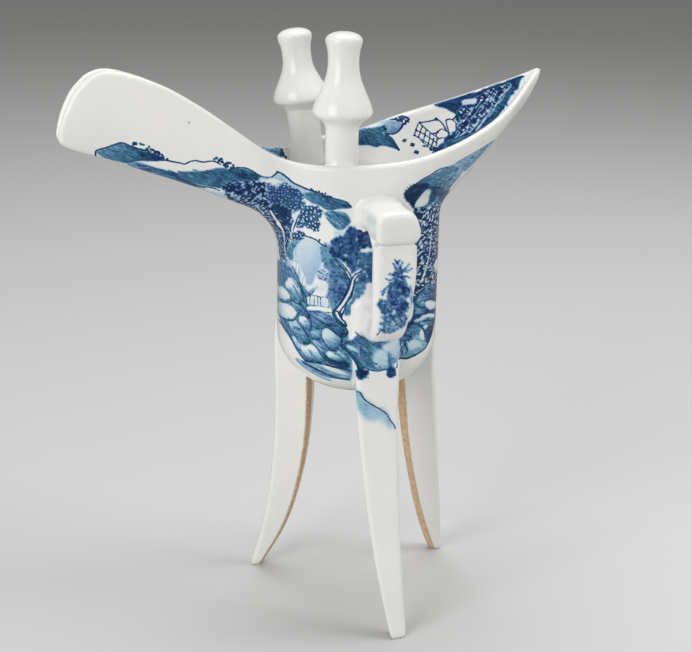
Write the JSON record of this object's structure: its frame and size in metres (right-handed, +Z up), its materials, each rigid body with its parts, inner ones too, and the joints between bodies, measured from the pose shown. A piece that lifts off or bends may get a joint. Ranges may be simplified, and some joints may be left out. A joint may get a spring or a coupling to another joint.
{
  "type": "libation cup",
  "caption": "Tripod porcelain pouring cup in the jue form: deep round cup, long open spout, pointed tail, capped posts on the rim, strap handle and sabre legs, blue landscape on white glaze.",
  "frame": {"origin": "centre of the bounding box on the plane of the three feet", "axes": "+Z up, spout towards -X, tail towards +X, handle towards -Y"},
  "size_m": [0.126, 0.061, 0.1589],
  "materials": {
    "blue_and_white_porcelain": "clear glossy glaze over cobalt blue painting on a white body",
    "white_porcelain": "clear glossy glaze on a white body, bare buff paste on the inner faces of the legs"
  },
  "bodies": {
    "root": {"cup": "blue_and_white_porcelain", "spout": "blue_and_white_porcelain", "tail": "blue_and_white_porcelain", "handle_strap": "blue_and_white_porcelain", "leg_front": "blue_and_white_porcelain", "post_near_stem": "white_porcelain", "post_near_cap": "white_porcelain", "post_far_stem": "white_porcelain", "post_far_cap": "white_porcelain", "handle_head": "white_porcelain", "leg_rear_left": "white_porcelain", "leg_rear_right": "white_porcelain"}
  },
  "joints": []
}
